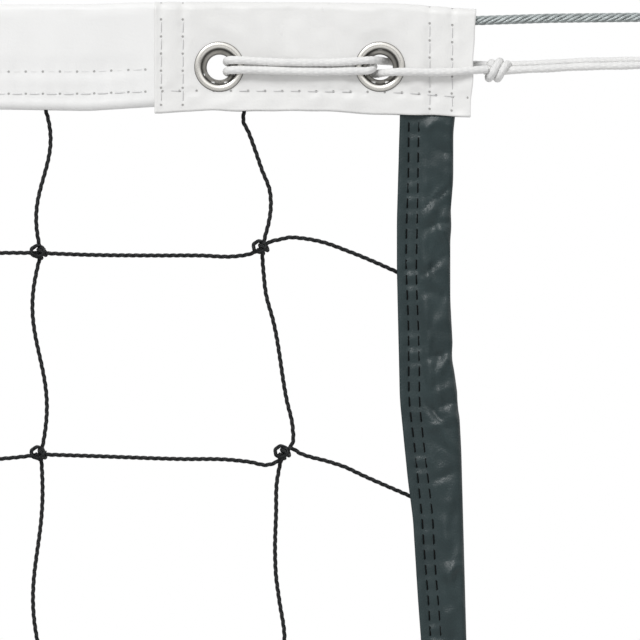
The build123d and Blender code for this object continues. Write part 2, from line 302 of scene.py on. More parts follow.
def lacing_route(side):
    """The cord's way from its knot: in at the outer eyelet from the front, then twice round by the back,
    the inner eyelet and the front, and in again at the outer eyelet to the knot."""
    face, knot, step, near = 7.4, 6.2, 3.6, 12
    outer, inner = (-inset / MM for inset in EYELET_INSETS)
    middle, turn, rim = (outer + inner) / 2, inner + 3.5, outer - 3.3
    ways = [
        (knot, -4.2, -1.2),
        (-12, -face, -3.0),
        (outer + near, -face, -2.6),
        (outer + step, -face, -3.0),
        (outer - step, face, -3.2),
        (outer - near, face, -3.8),
        (middle, face, -5.0),
        (inner + near, face, -3.4),
        (turn, face, -2.7),
        (turn, -face, -1.9),
        (inner + near, -face, -1.6),
        (middle - 12, -face, -2.1),
        (middle + 14, -face, -2.7),
        (outer - near, -face, -2.2),
        (rim, -face, -2.2),
        (rim, face, 2.6),
        (outer - near, face, 2.0),
        (middle, face, 1.4),
        (inner + near, face, 1.8),
        (turn, face, 2.3),
        (turn, -face, 3.2),
        (inner + near, -face, 3.0),
        (middle - 10, -face, 2.1),
        (middle + 12, -face, 1.8),
        (outer - near, -face, 2.6),
        (outer - step, -face, 3.2),
        (outer + step, face, 3.2),
        (outer + near, face, 2.8),
        (-12, face, 1.8),
        (knot, 4.2, 1.2),
    ]
    return [(side * (BAND_END + x * MM), y * MM, EYELET_LEVEL + z * MM) for x, y, z in ways]


def tail_route(side, depth, lift):
    """One strand of the tail, which rises a little on its way to the knot at its end."""
    start, length = BAND_END + 13.6 * MM, 84 * MM
    steps = ((0, -0.6), (0.3, 0.9), (0.62, 1.9), (1, 2.3))
    level = EYELET_LEVEL + lift
    return [(side * (start + length * share), depth, level + rise * MM) for share, rise in steps]


cord_white = Finish("cord_white", roughness=0.82, specular_ior_level=0.3, sheen_weight=0.15)
turn, gone, _ = cord_white.parts(cord_white.place("UV"))
weave = (turn * 6 + gone).wave() * (turn * 6 - gone).wave()
fibre = cord_white.noise(cord_white.place(), 1500, 3.0)
mottle = cord_white.noise(cord_white.place(), 90, 2.0)
# The braid's pattern paints the grooves between its strands darker: painted shade. mottle is the cord's own
# uneven tone.
cord_white.feed(
    base_color=cord_white.colours(weave * 0.35 + mottle * 0.8, (0.70, 0.70, 0.70), (0.90, 0.895, 0.88)),
    normal=cord_white.bump(fibre * 0.5 + weave * 0.6, 0.0003, 0.6),
)


def cord_knot(name, side, middle, node, turns=2.2, coil=4.2 * MM, thick=4.2 * MM, half=4.6 * MM):
    """A drawn-up knot: one coil of cord that leans along its axis, round the strands that it grips."""
    share = np.linspace(0, 1, 150)
    angle = 2 * math.pi * (turns * share + 0.1)
    out = coil * np.clip(np.minimum(share, 1 - share) * 9, 0.25, 1) ** 0.5
    lean = 1.7 * MM * np.sin(angle)
    path = np.stack([(2 * share - 1) * half + lean, -out * np.cos(angle), out * np.sin(angle)], -1)
    core = np.linspace(-1, 1, 40)[:, None] * (1.35 * half, 0, 0)
    swell = 0.5 * thick * (0.8 + 0.6 * np.cos(np.linspace(-1.2, 1.2, 40)))[:, None] * np.ones(24)
    path, gone = evenly(path, CORD_STEP)
    lace = skin(path, braided(gone, thick), (1.0, 0.0, 0.0), BRAID_PITCH)
    places, faces, turns = joined(lace, skin(core, swell, UP, BRAID_PITCH))
    places = (places + middle) * (side, 1, 1)
    faces = faces if side > 0 else tuple(np.flip(one, 1) for one in faces)
    return piece(name, places, *faces, turns=turns, finish=cord_white, body="net",
                 slot="white_cord", instead=(node,))


def cord(name, node, route):
    """A braided cord along its route: the piece, its line, and the line's length."""
    line, gone = cord_line(route, CORD_STEP)
    lace = skin(line, braided(gone, LACING), UP, BRAID_PITCH)
    return wound(name, [lace], cord_white, "net", "white_cord", (node,)), line, gone[-1]


KNOT_PLACE = (BAND_END + 10.5 * MM, 0, EYELET_LEVEL - 1.4 * MM)
TAIL_KNOT_PLACE = (BAND_END + 103.7 * MM, 0, EYELET_LEVEL + 2.3 * MM)
TAIL_STRANDS = {"front": (-1.9 * MM, -1.3 * MM), "back": (1.9 * MM, 1.3 * MM)}
for name, side in SIDES.items():
    loop, line, length = cord(f"lacing_loop_{name}_cord", f"lacing_loop_{name}", lacing_route(side))
    cord_knot(f"lacing_knot_{name}_cord", side, KNOT_PLACE, f"lacing_knot_{name}")
    tail_knot = cord_knot(f"lacing_tail_knot_{name}_cord", side, TAIL_KNOT_PLACE,
                          f"lacing_tail_knot_{name}")
    for strand, (depth, lift) in TAIL_STRANDS.items():
        tail, line, length = cord(f"lacing_tail_{name}_{strand}", f"lacing_tails_{name}",
                                  tail_route(side, depth, lift))

# --- Headline cable ----------------------------------------------------------------------------------
# Galvanised wire rope, 4.8 mm thick: six strands laid round a heart, each of them twisted from wires.
# It lies in the headband's fold, and its ends turn round a thimble and back into a pressed sleeve.
CABLE = 4.8 * MM
CABLE_LAY, WIRE_LAY = 24 * MM, 9 * MM
CABLE_AXIS = BAND_TOP - 5.4 * MM
CABLE_SHOWN = 30 * MM
CABLE_DIPS = ((-400, 0), (-110, -3.4), (0, -3.4), (37, -2.2), (86, -1.7), (99, 0))
THIMBLE_TURN, STRAND_OFFSET = 11.05 * MM, 2.5 * MM

wire_zinc = Finish("wire_zinc", metallic=0.85)
turn, gone, _ = wire_zinc.parts(wire_zinc.place("UV"))
wires = (turn * 9 + gone).wave()
weathering = wire_zinc.noise(wire_zinc.place(), 260, 4.0)
# The wire pattern paints the grooves between the wires nearly black: painted shade. weathering is the zinc's
# own uneven tone.
wire_zinc.feed(
    base_color=wire_zinc.colours(wires * 0.6 + weathering * 0.5, (0.015, 0.022, 0.022), (0.66, 0.71, 0.71)),
    roughness=weathering * 0.3 + 0.28,
    normal=wire_zinc.bump(wires, 0.00015, 0.8),
)


def wire_rope(line, gone, sides=12, strands=6):
    """Strand skins round a line: each strand is a third of the cable thick and spirals round the line."""
    along = np.gradient(line, axis=0)
    along /= np.linalg.norm(along, axis=1, keepdims=True)
    front = np.tile((0.0, -1.0, 0.0), (len(line), 1))
    rise = np.cross(along, front)
    angle = 2 * math.pi * (np.arange(strands)[:, None] / strands - gone / CABLE_LAY)
    paths = line + CABLE / 3 * (np.cos(angle)[..., None] * front + np.sin(angle)[..., None] * rise)
    round_wire = np.cos(9 * math.pi * (np.arange(sides) / sides))
    reach = CABLE / 6 * (0.93 + 0.07 * np.abs(round_wire)) * np.ones((strands, len(line), 1))
    heart = skin(line, np.full((len(line), 8), CABLE / 5), front, WIRE_LAY)
    return [skin(paths, reach, front, WIRE_LAY), heart]


def cable_eye_line(side):
    """From the sleeve, out to the thimble, round it on an arc, and back through the sleeve."""
    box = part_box("cable_thimble_right")
    centre, turn, half = (box[0] + box[1]) / 2, THIMBLE_TURN, STRAND_OFFSET
    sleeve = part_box("cable_ferrule_right")
    neck = sleeve[1].x + 10 * MM - centre.x
    lean = math.asin(turn / math.hypot(neck, half)) - math.atan2(half, -neck)
    angle = np.linspace(math.pi / 2 + lean, -math.pi / 2 - lean, 60)
    arc = np.stack([turn * np.cos(angle), 0 * angle, turn * np.sin(angle)], -1)
    out = [(sleeve[1].x - centre.x, 0, half), (neck, 0, half)]
    back = [(neck, 0, -half), (sleeve[0].x - 3 * MM - centre.x, 0, -half)]
    line = (np.concatenate([out, arc, back]) + centre) * (side, 1, 1)
    line, gone = evenly(line, 0.7 * MM)
    soft = [np.convolve(np.pad(axis, 4, "edge"), np.ones(9) / 9, "valid") for axis in line.T]
    return np.stack(soft, -1), gone


def edge(inset, marks):
    """The height of an edge through marks, each an inset and a height in millimetres. It is the mean of
    the straight line between them over 8 mm, which rounds its turns."""
    insets, heights = np.array(marks, float).T * MM
    spread = np.linspace(-1, 1, 9) * 4 * MM
    return np.interp(np.asarray(inset)[..., None] + spread, insets, heights).mean(-1)


# Inside the band a plain round skin is enough. The stranded one begins just inside each end.
hidden, sleeve_end = BAND_END - CABLE_SHOWN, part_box("cable_ferrule_right")[1].x
middle = np.linspace(-hidden, hidden, 700)
dips = edge(np.abs(middle) - BAND_END, CABLE_DIPS)
middle = np.stack([middle, 0 * middle, CABLE_AXIS + dips], -1)
runs = [skin(middle, np.full((700, 12), CABLE / 2 * 0.97), UP, WIRE_LAY)]
for side in SIDES.values():
    line = np.array([(side * hidden, 0, CABLE_AXIS), (side * sleeve_end, 0, CABLE_AXIS)])
    line, gone = evenly(line, 0.8 * MM)
    line[:, 2] += edge(np.abs(line[:, 0]) - BAND_END, CABLE_DIPS)
    runs += wire_rope(line, gone)
wound("headline_wire_rope", runs, wire_zinc, "headline", "galvanised_wire", ("headline_cable",))
for name, side in SIDES.items():
    wound(f"cable_eye_{name}_wire_rope", wire_rope(*cable_eye_line(side)), wire_zinc, "headline",
          "galvanised_wire", (f"cable_eye_{name}",))


def coat(finish, *nodes):
    """These pieces keep the frame's shape and get a finish."""
    for node in nodes:
        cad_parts[node].data.materials.clear()
        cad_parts[node].data.materials.append(finish.material)


# Thimbles and sleeves keep the shapes that they are pressed to. The thimble is galvanised steel, and
# the sleeve is dull aluminium with the marks of the press.
thimble_zinc = Finish("thimble_zinc", metallic=0.9)
spangle = thimble_zinc.node("ShaderNodeTexVoronoi", values={"Vector": thimble_zinc.place(), "Scale": 350.0})
thimble_zinc.feed(
    base_color=thimble_zinc.colours(spangle, (0.42, 0.44, 0.46), (0.66, 0.68, 0.70)),
    roughness=spangle * 0.25 + 0.32,
)
sleeve_grey = Finish("sleeve_grey", metallic=0.9)
scratches = sleeve_grey.noise(sleeve_grey.place(), 700, 4.0)
across, _, _ = sleeve_grey.parts(sleeve_grey.place())
sleeve_grey.feed(
    base_color=sleeve_grey.colours(scratches, (0.50, 0.51, 0.52), (0.74, 0.75, 0.76)),
    roughness=scratches * 0.3 + 0.35,
    normal=sleeve_grey.bump((across * 240).wave(), 0.0004, 0.6),
)
coat(thimble_zinc, "cable_thimble_left", "cable_thimble_right")
coat(sleeve_grey, "cable_ferrule_left", "cable_ferrule_right")

# --- Headband ----------------------------------------------------------------------------------------
# A strip of white vinyl-coated cloth, folded over the cable and the net's top twine. Two rows of white
# lock stitches close it. Tiny needle holes show at the ends of each stitch.
BAND_PLY, BAND_HALF = 0.5 * MM, 3.05 * MM
BAND_SEAMS, BAND_STITCH = (33.5 * MM, 44.5 * MM), 8.5 * MM
PATCH_LENGTH = 159.5 * MM
BAND_TOP_EDGE = ((0, -3.3), (3, -3.1), (37, -0.5), (87, 0.2), (159, 0.4), (193, -0.9), (300, -1.1),
                 (600, 0))
BAND_LOW_EDGE = ((0, -50.8), (159, -51.6), (193, -53.7), (260, -52.6), (420, -51.3), (600, -51.0))
WHITE_THREAD, STITCH_REACH = 0.55 * MM, (0.14, 0.86)


def ripple(first, second, seed, size):
    """Smooth unevenness, near -1 to 1: the mean of twelve plane waves of random direction and phase,
    each about size long."""
    chance = np.random.default_rng(seed)
    heading, phase = chance.uniform(0, 2 * math.pi, (2, 12))
    far = 2 * math.pi / size / chance.uniform(0.7, 1.5, 12)
    wave = np.multiply.outer(first, far * np.cos(heading))
    wave = wave + np.multiply.outer(second, far * np.sin(heading))
    return np.cos(wave + phase).sum(-1) / 4


def fold_over(steps, bends=7):
    """A folded strip's section, edge to fold to edge: the turn round the fold, 0 on the front and pi on
    the back, and the share of the way from the edge to the fold."""
    flat = np.linspace(0, 1, steps)
    turn = np.concatenate([0 * flat, np.linspace(0, math.pi, bends + 2)[1:-1], 0 * flat + math.pi])
    return turn, np.concatenate([flat, np.ones(bends), flat[::-1]])


def cloth(name, places, pattern, ply, finish, slot, instead, holes=(), flip=False):
    """A sheet from a grid of places, with a pattern place for each, given its thickness by Solidify.
    holes lists round holes, each as a middle (x, z) and a radius."""
    rows, columns, _ = places.shape
    corner = np.arange(rows * columns).reshape(rows, columns)
    faces = np.stack([corner[:-1, :-1], corner[1:, :-1], corner[1:, 1:], corner[:-1, 1:]], -1)
    faces = faces.reshape(-1, 4)
    flat = places.reshape(-1, 3)
    for (x, z), radius in holes:
        away = np.hypot(flat[:, 0] - x, flat[:, 2] - z)[faces].min(1)
        faces = faces[away > radius]
    faces = np.flip(faces, 1) if flip else faces
    used, numbers = np.unique(faces, return_inverse=True)
    made = piece(name, flat[used], numbers.reshape(-1, 4), turns=pattern.reshape(-1, 2)[faces.ravel()],
                 finish=finish, body="net", slot=slot, instead=instead)
    solid = made.modifiers.new("ply", "SOLIDIFY")
    solid.thickness, solid.offset = ply, 0
    return made


def stitches(name, starts, ends, outward, thick, finish, slot):
    """A short thread for each pair of places. It rises from the cloth, runs along it and dips again."""
    share = np.array([0, 0.15, 0.85, 1])[:, None]
    lift = np.array([-0.9, 0.35, 0.35, -0.9])[:, None] * thick
    paths = starts[:, None] + (ends - starts)[:, None] * share + outward[:, None] * lift
    reach = np.full((len(paths), 4, 3), thick / 2)
    wound(name, [skin(paths, reach, (0.02, 1.0, 0.03), BAND_STITCH)], finish, "net", slot)


def sewn(name, starts, rows, pitch, reaches, spot, thick, finish, slot):
    """Stitches in rows on both faces. spot gives the place of a thread's end from how far along its row
    it lies, the row, and -1 for the front or 1 for the back."""
    grid = np.meshgrid(starts, rows, (-1, 1), indexing="ij")
    start, row, back = (axis.ravel() for axis in grid)
    ends = [np.stack(spot(start + reach * pitch, row, back), -1) for reach in reaches]
    stitches(name, *ends, back[:, None] * np.array(BACK), thick, finish, slot)


def band_relief(x, down, back):
    """The cloth is drawn in along both seams, swells between them, and waves softly along its length."""
    clear = np.clip((BAND_END - np.abs(x) - PATCH_LENGTH - 3 * MM) / (9 * MM), 0, 1)
    drawn = sum(np.exp(-(((down - seam) / (2.4 * MM)) ** 2)) for seam in BAND_SEAMS)
    pucker = 0.25 * MM * np.cos(2 * math.pi * x / BAND_STITCH) * drawn
    soft = 0.5 * ripple(x, down + back, 3, 60 * MM) + 0.25 * ripple(x, down + back, 4, 18 * MM)
    return clear * (0.6 * MM * soft + 0.3 * MM - 1.2 * MM * drawn + pucker)


def sewn_vinyl(name, pale, darkened, rows, columns, pitch, **plain):
    """Coated cloth with a needle hole at each end of the stitches. rows are drops from the fold, columns
    are insets from the end, and the pattern gives each point's place along the strip and its drop."""
    made = Finish(name, **plain)
    along, down, _ = made.parts(made.place("UV"))
    inset = BAND_END - abs(along)
    holes = 0
    for place, other, seams in ((along, down, rows), (down, inset, columns)):
        for seam in seams:
            near = place.math("PINGPONG", place / pitch, 0.5) * pitch
            off = abs(other - seam)
            holes = holes + (1 - (near * near + off * off).band((0.35 * MM) ** 2, (0.75 * MM) ** 2))
    grain = made.noise(made.place(), 900, 3.0)
    cast = made.noise(made.place(), 14, 3.0)
    scuff = made.noise(made.place(), 120, 5.0, 0.65)
    marks = scuff.band(0.64, 0.78) * cast.band(0.45, 0.7)
    # The needle holes are painted darker than the cloth: painted shade in the holes. The scuff marks are
    # real dirt, and cast is the cloth's own uneven tone. Both go towards the darkened colour.
    grime_and_hole_shade = marks * 0.35 + holes * 0.75 + (1 - cast) * 0.12
    weave = (along * 1600).wave() * (down * 1600).wave()
    made.feed(
        base_color=made.colours(grime_and_hole_shade, pale, darkened),
        roughness=grain * 0.15 + scuff * 0.2 + plain["roughness"] - 0.2,
        normal=made.bump(weave * 0.25 + grain * 0.6 - holes * 2 + scuff * 0.4, 0.00018, 0.7),
    )
    return made


thread_white = Finish("thread_white", roughness=0.7, specular_ior_level=0.35)
twist = thread_white.noise(thread_white.place(), 2500, 2.0)
thread_white.feed(base_color=thread_white.colours(twist, (0.62, 0.62, 0.62), (0.84, 0.84, 0.84)))
band_white = sewn_vinyl("band_white", (0.885, 0.885, 0.88), (0.30, 0.30, 0.29), BAND_SEAMS, (),
                        BAND_STITCH, roughness=0.5, specular_ior_level=0.4)


def band_fold(x):
    """The fold's height: its edge line, and a slow wave away from the ends."""
    inset = BAND_END - np.abs(x)
    return BAND_TOP + edge(inset, BAND_TOP_EDGE) + 0.5 * MM * ripple(x, 0 * x, 8, 0.9) * (inset > 0.3)


# The grid is fine near both ends, where the shape changes, and coarse between them.
fine_end = 0.33
half_steps = [np.arange(0, fine_end, 1.6 * MM), np.arange(fine_end, BAND_END, 13 * MM), [BAND_END]]
half_steps = np.concatenate(half_steps)
x = np.concatenate([half_steps - BAND_END, BAND_END - half_steps[-2::-1]])[:, None]
turn, share = fold_over(13)
inset = BAND_END - np.abs(x)
covered = np.clip((PATCH_LENGTH + 6 * MM - inset) / (6 * MM), 0, 1) * 0.55 * MM
top = band_fold(x) - covered
low = BAND_TOP + edge(inset, BAND_LOW_EDGE) + 0.7 * MM * ripple(x, 0 * x, 9, 0.5) * (inset > 0.3)
down = BAND_HALF * (1 - np.sin(turn)) + (1 - share) * (top - low - BAND_HALF)
slant = (0.4 * MM + 3.4 * MM * down / (56 * MM)) * np.clip(1 - inset / (9 * MM), 0, 1)
places = np.stack(np.broadcast_arrays(
    x - np.sign(x) * slant, -(BAND_HALF + band_relief(x, down, turn)) * np.cos(turn), top - down), -1)
pattern = np.stack(np.broadcast_arrays(x, down), -1)
holes = [((side * (BAND_END - far), EYELET_LEVEL), 7.6 * MM)
         for side in SIDES.values() for far in EYELET_INSETS]
headband = cloth("headband_cloth", places, pattern, BAND_PLY, band_white, "white_vinyl", ("headband",),
                 holes=holes)


def band_spot(x, down, back):
    face = BAND_HALF + BAND_PLY / 2 + band_relief(x, down, (back + 1) * math.pi / 2)
    return x, back * face, band_fold(x) - down


count = int((BAND_END - PATCH_LENGTH) / BAND_STITCH)
sewn("headband_stitches", np.arange(-count, count) * BAND_STITCH, BAND_SEAMS, BAND_STITCH, STITCH_REACH,
     band_spot, WHITE_THREAD, thread_white, "white_vinyl")

# --- End patches -------------------------------------------------------------------------------------
# A second layer of the white vinyl, folded over each end of the headband to hold the eyelets. A row of
# stitches runs along its lower part, and two rows down each end. Its outer end has sunk a little.
PATCH_HALF = 3.62 * MM
PATCH_LOW_EDGE = ((0, -56.9), (3, -56.8), (37, -55.8), (47, -55.3), (87, -53.6), (137, -53.8),
                  (160, -54.8))
PATCH_ROW, PATCH_COLUMNS = 44.3 * MM, (11.5 * MM, 22.7 * MM, 145.4 * MM, 156.2 * MM)


def patch_relief(inset, down, back):
    """The patch lies on the headband at its seams and eyelets, and swells up to a millimetre between."""
    held = np.exp(-(((down - PATCH_ROW) / (2.6 * MM)) ** 2))
    held = held * (1 - 0.3 * np.cos(2 * math.pi * inset / BAND_STITCH))
    for column in PATCH_COLUMNS:
        pucker = 1 - 0.3 * np.cos(2 * math.pi * down / BAND_STITCH)
        held = np.maximum(held, np.exp(-(((inset - column) / (2.2 * MM)) ** 2)) * pucker)
    for far in EYELET_INSETS:
        away = np.hypot(inset - far, BAND_TOP - EYELET_LEVEL - down)
        held = np.maximum(held, np.clip((19 * MM - away) / (6 * MM), 0, 1))
    soft = 0.5 + 0.4 * ripple(inset, down + back, 21, 34 * MM)
    soft = soft + 0.2 * ripple(inset, down + back, 22, 11 * MM)
    lip = np.exp(-(((inset - 7 * MM) / (6 * MM)) ** 2)) * np.clip((down - 50 * MM) / (6 * MM), 0, 1) ** 2
    return np.clip(soft, 0.05, 1.3) * MM * np.clip(1 - held, 0, 1) + 1.5 * MM * lip * (back < 1)


patch_white = sewn_vinyl("patch_white", (0.84, 0.838, 0.828), (0.26, 0.255, 0.245), (PATCH_ROW,),
                         PATCH_COLUMNS, BAND_STITCH, roughness=0.48, specular_ior_level=0.4)


def patch_spot(side, inset, down, back):
    """A place on the patch's outer face, where back is -1 on the front and 1 on the back."""
    face = PATCH_HALF + BAND_PLY / 2 + patch_relief(inset, down, (back + 1) * math.pi / 2)
    fold = BAND_TOP + edge(inset, BAND_TOP_EDGE)
    return np.stack([side * (BAND_END - inset), back * face, fold - down], -1)


# Where the stitches start: along the row first, then down each column. None lies under an eyelet.
row_starts, column_starts = (
    np.arange(1, int(length / BAND_STITCH)) * BAND_STITCH for length in (PATCH_LENGTH, 53 * MM)
)
stitch_inset = np.concatenate([row_starts, np.repeat(PATCH_COLUMNS, len(column_starts))])
stitch_down = np.concatenate([0 * row_starts + PATCH_ROW, np.tile(column_starts, len(PATCH_COLUMNS))])
in_row = np.tile(np.arange(len(stitch_inset)) < len(row_starts), 2)
stitch_back = np.repeat((-1, 1), len(stitch_inset))
stitch_inset, stitch_down = np.tile(stitch_inset, 2), np.tile(stitch_down, 2)

turn, share = fold_over(56)
along = np.linspace(0, 1, 170)[:, None]
for name, side in SIDES.items():
    inset = PATCH_LENGTH * (1 - along)
    top = BAND_TOP + edge(inset, BAND_TOP_EDGE)
    for column in PATCH_COLUMNS:
        top = top - 0.45 * MM * np.exp(-(((inset - column) / (1.4 * MM)) ** 2))
    low = BAND_TOP + edge(inset, PATCH_LOW_EDGE)
    low = low + 0.25 * MM * ripple(inset, 0 * inset, 30 + side, 22 * MM)
    down = PATCH_HALF * (1 - np.sin(turn)) + (1 - share) * (top - low - PATCH_HALF)
    slant = 0.5 * MM - 3.0 * MM * down / (56 * MM) * along ** 12
    frayed = 0.3 * MM * ripple(down, 0 * down, 33, 18 * MM) * along ** 30
    x = side * (BAND_END - inset + slant * along ** 12 + frayed)
    relief = patch_relief(inset, down, turn)
    places = np.stack(np.broadcast_arrays(x, -(PATCH_HALF + relief) * np.cos(turn), top - down), -1)
    pattern = np.stack(np.broadcast_arrays(side * (BAND_END - inset), down), -1)
    holes = [((side * (BAND_END - far), EYELET_LEVEL), 10.3 * MM) for far in EYELET_INSETS]
    patch = cloth(f"end_patch_{name}_cloth", places, pattern, BAND_PLY, patch_white, "white_vinyl",
                  (f"end_patch_{name}",), holes=holes, flip=side < 0)
    start, end = (
        patch_spot(side, stitch_inset + reach * BAND_STITCH * in_row,
                   stitch_down + reach * BAND_STITCH * ~in_row, stitch_back)
        for reach in STITCH_REACH
    )
    clear = np.ones(len(start), bool)
    for spot, _ in holes:
        clear &= np.linalg.norm(start[:, ::2] - spot, axis=1) > 16 * MM
    outward = stitch_back[:, None] * np.array(BACK)
    stitches(f"end_patch_{name}_stitches", start[clear], end[clear], outward[clear], WHITE_THREAD,
             thread_white, "white_vinyl")

# --- Eyelets -----------------------------------------------------------------------------------------
# Two nickel-plated brass eyelets through each end patch, and one through each lower corner. The domed
# flange is in front, the funnel leads into the bore, and its end is rolled over a washer at the back.
EYELET_SECTION = (
    (12.45, -3.75), (12.4, -4.2), (11.9, -4.65), (10.9, -4.85), (9.9, -4.7), (9.1, -4.2), (8.6, -3.3),
    (7.7, -2.2), (6.9, -1.4), (6.45, -0.6), (6.35, 0.4), (6.35, 4.2), (6.6, 4.75), (7.2, 4.9), (7.7, 4.6),
    (7.8, 4.35), (7.2, 4.0), (7.1, -0.5), (8.4, -1.6), (9.6, -3.2), (12.3, -3.72),
)
# How dark each point of the section is painted, from 0 to 1: painted dark reflections on the rim and dome,
# and painted shade in the groove, the funnel and the bore.
EYELET_PAINTED_SHADE = (1, 1, 0.35, 0, 0.05, 0.9, 1, 0.35, 0.4, 1, 0.8, 0.2, 0, 0, 0.2, 0.8, 1, 1, 1, 1, 1)
nickel = Finish("nickel", metallic=1.0)
soil = nickel.node("ShaderNodeAttribute", {"attribute_name": "soil"}, output=2)
scratches = nickel.noise(nickel.place(), 500, 4.0, 0.6)
# Where the section is painted dark, the nickel's base colour goes near black: painted reflection and shade.
# The scratches are real wear.
nickel.feed(
    base_color=nickel.colours(soil * 0.9 + scratches * 0.12, (0.90, 0.88, 0.83), (0.03, 0.028, 0.024)),
    roughness=soil * 0.3 + scratches * 0.18 + 0.12,
)


def turned(name, section, painted_shades, middles, scale, node):
    """A closed section of radii and depths, smoothed and turned about the Y axis through each middle.
    scale stretches its depths and moves them, to suit the thickness that it grips."""
    ring = np.array(section + section[:1], float) * MM
    place = np.linspace(0, len(section), 5 * len(section), endpoint=False)
    knots = np.arange(len(section) + 1)
    radius, depth = (np.interp(place, knots, ring[:, axis]) for axis in (0, 1))
    darkened = np.interp(place, knots, painted_shades + painted_shades[:1])
    radius, depth = (
        (np.roll(line, 2) + 2 * np.roll(line, 1) + 3 * line + 2 * np.roll(line, -1) + np.roll(line, -2)) / 9
        for line in (radius, depth)
    )
    depth = depth * scale[0] + scale[1]
    sides, rings = 60, len(radius)
    angle = np.arange(sides) * 2 * math.pi / sides
    one = np.stack(np.broadcast_arrays(
        radius[:, None] * np.cos(angle), depth[:, None], radius[:, None] * np.sin(angle)), -1).reshape(-1, 3)
    ring, here = np.meshgrid(np.arange(rings), np.arange(sides), indexing="ij")
    on, ahead = (ring + 1) % rings * sides, (here + 1) % sides
    faces = np.stack([ring * sides + here, on + here, on + ahead, ring * sides + ahead], -1).reshape(-1, 4)
    places = np.concatenate([one + middle for middle in middles])
    faces = np.concatenate([faces + len(one) * number for number in range(len(middles))])
    made = piece(name, places, faces, finish=nickel, body="net", slot="nickel_plate", instead=(node,))
    # Each point keeps how dark the section is painted there, for the nickel's painted reflection and shade.
    stain = made.data.attributes.new("soil", "FLOAT", "POINT")
    stain.data.foreach_set("value", np.tile(np.repeat(darkened, sides), len(middles)).astype(np.float32))
    return made


for name, side in SIDES.items():
    middles = [(side * (BAND_END - far), 0, EYELET_LEVEL) for far in EYELET_INSETS]
    turned(f"top_eyelets_{name}", EYELET_SECTION, EYELET_PAINTED_SHADE, middles, (1, 0),
           f"top_eyelet_barrels_{name}")
    low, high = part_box(f"bottom_eyelet_barrel_{name}")
    middle = ((low.x + high.x) / 2, 0, (low.z + high.z) / 2)
    squeeze = (high.y - low.y) / (9.75 * MM)
    depths = (squeeze, low.y + 4.85 * MM * squeeze)
    turned(f"bottom_eyelet_{name}", EYELET_SECTION, EYELET_PAINTED_SHADE, [middle], depths,
           f"bottom_eyelet_barrel_{name}")
    coat(nickel, f"top_eyelet_washers_{name}", f"bottom_eyelet_washer_{name}")

# --- Side tapes --------------------------------------------------------------------------------------
# Dark slate vinyl, folded over each side of the net with the fold outside. Two rows of black stitches
# close it near its inner edge. The slack cloth outside them is creased.
TAPE_PLY, TAPE_HALF = 0.5 * MM, 2.35 * MM
TAPE_STITCH, TAPE_SEAMS = 7.6 * MM, (4.7 * MM, 9.7 * MM)
BLACK_THREAD, TAPE_REACH = 0.95 * MM, (0.12, 0.88)
TAPE_INNER = ((14, 37.2), (56, 37.4), (108, 38.9), (133, 38.9), (198, 37.4), (238, 33.4), (257, 30.9),
              (297, 28.4), (317, 26.9), (370, 25.2), (469, 24), (610, 24.6), (800, 29), (935, 33))
TAPE_OUTER = ((14, 10), (57, 10), (63, 11), (88, 11), (106, 12.5), (110, 11.6), (116, 12.5), (148, 12.5),
              (172, 11.2), (176, 12.2), (180, 11), (197, 8.6), (200, 9.4), (204, 8), (223, 7), (317, 4.5),
              (370, 1.5), (469, -1.5), (610, -1.5), (800, 2.5), (935, 6))
# Creases: in from the fold, down from the headband's top, lean, half length, half width, height.
TAPE_CREASES = (
    (9, 101, 0.4, 8, 2.0, 0.9), (4, 115, -0.5, 8, 1.6, 1.0), (13, 119, 0.2, 9, 2.0, 0.8),
    (11, 136, -0.2, 10, 2.2, 0.9), (13, 154, 0.1, 9, 2.0, 0.9), (12, 170, 0.05, 12, 1.4, 1.2),
    (11.5, 184, 0.25, 10, 1.3, 1.1), (9, 196, 0.0, 8, 1.5, 1.0), (7, 216, -0.3, 11, 2.0, 1.0),
    (7, 253, 0.2, 9, 2.0, 0.9), (8, 268, -0.15, 9, 2.0, 0.9), (6, 282, 0.3, 8, 1.8, 1.0),
    (6, 291, -0.3, 8, 1.8, 1.0), (16, 146, 1.2, 7, 1.5, -0.7), (8, 176, 1.3, 9, 1.3, -0.8),
    (5, 110, 1.35, 8, 1.2, -0.9), (6, 200, 1.2, 8, 1.3, -0.9), (10, 236, 1.1, 8, 1.5, -0.7),
)


def creased(across, along, marks):
    """The sum of creases. Each is a ridge, a bell curve across its own line, and fades along it too."""
    middle, place, lean, length, width, height = np.array(marks, float).T
    away, gone = across[..., None] / MM - middle, along[..., None] / MM - place
    run = gone * np.cos(lean) + away * np.sin(lean)
    off = away * np.cos(lean) - gone * np.sin(lean)
    return (height * np.exp(-((off / width) ** 2) - (run / length) ** 2)).sum(-1) * MM


def slack_marks(seed, count, low, high, across):
    """Creases at random places between two levels, leaning any way, from slight to a millimetre deep."""
    chance = np.random.default_rng(seed)
    return np.stack([
        chance.uniform(0, across, count), chance.uniform(low, high, count), chance.normal(0, 0.9, count),
        chance.uniform(4, 14, count), chance.uniform(0.8, 2.2, count), chance.normal(0, 0.55, count),
    ], -1)


